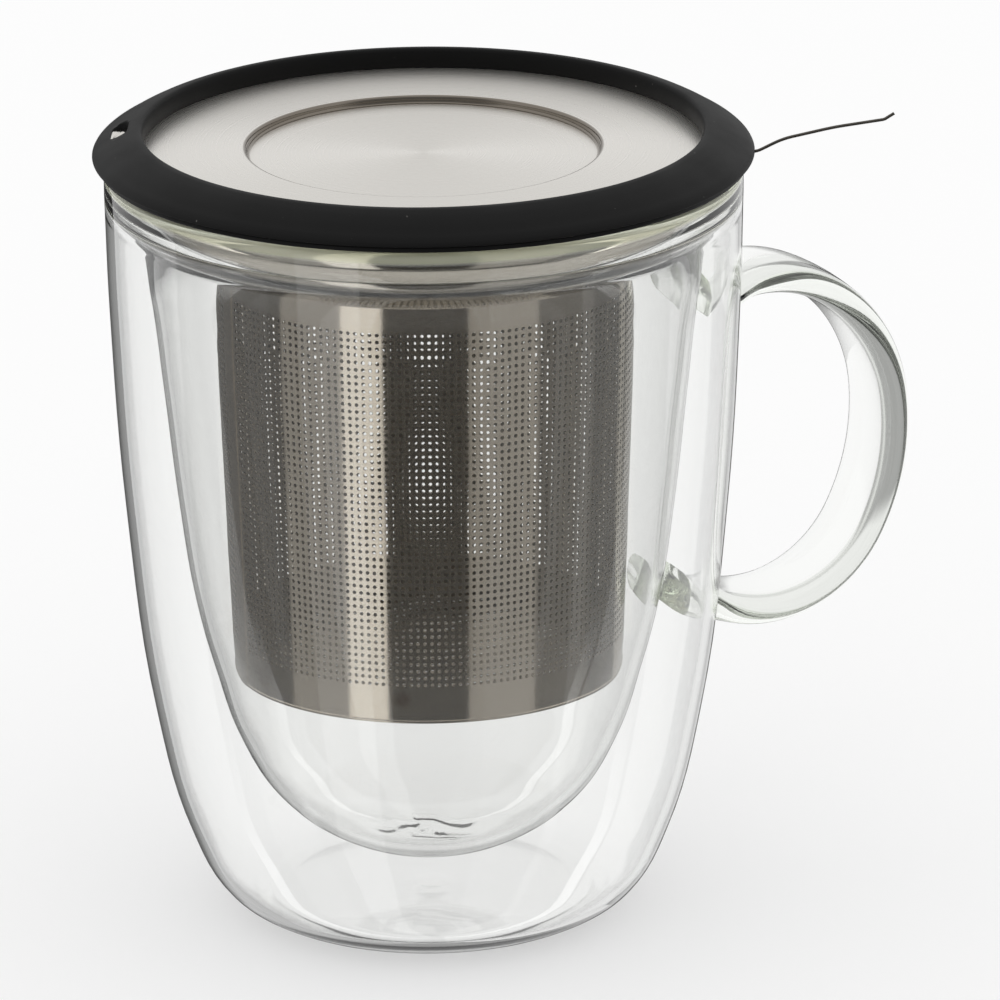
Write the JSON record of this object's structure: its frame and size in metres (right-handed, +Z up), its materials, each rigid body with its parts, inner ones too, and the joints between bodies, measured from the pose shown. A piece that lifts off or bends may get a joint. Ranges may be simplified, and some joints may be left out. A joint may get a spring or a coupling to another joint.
{
  "type": "glass tea mug with infuser",
  "caption": "Double-walled glass tea mug with a strap handle, a lift-out perforated steel infuser with a lift wire, and a steel lid in a soft black ring.",
  "frame": {"origin": "centre of the base, on the face the mug stands on", "axes": "+Z up along the mug's axis, +X towards the handle, +Y to the handle's left seen from above with the handle pointing away from the viewer"},
  "size_m": [0.125, 0.0952, 0.1199],
  "materials": {
    "clear_glass": "clear borosilicate, flame polished",
    "polished_steel": "spun and bright polished stainless",
    "basket_steel": "thin perforated stainless sheet, satin",
    "spring_wire": "drawn stainless spring wire",
    "black_silicone": "moulded matte silicone",
    "brushed_steel": "round-brushed stainless"
  },
  "bodies": {
    "mug": {"outer_glass": "clear_glass", "inner_glass": "clear_glass", "vent_seal": "clear_glass", "glass_handle": "clear_glass"},
    "infuser": {"basket_collar": "polished_steel", "basket_wall": "basket_steel", "basket_floor": "basket_steel", "spot_welds": "basket_steel", "infuser_ring": "black_silicone", "lift_wire": "spring_wire"},
    "lid": {"lid_plate": "brushed_steel", "lid_ring": "black_silicone"}
  },
  "joints": [
    {"name": "infuser_lift", "type": "slide", "parent": "mug", "child": "infuser", "axis": [0, 0, 1], "range_m": [0, 0.125]},
    {"name": "lid_lift", "type": "slide", "parent": "infuser", "child": "lid", "axis": [0, 0, 1], "range_m": [0, 0.06]}
  ]
}
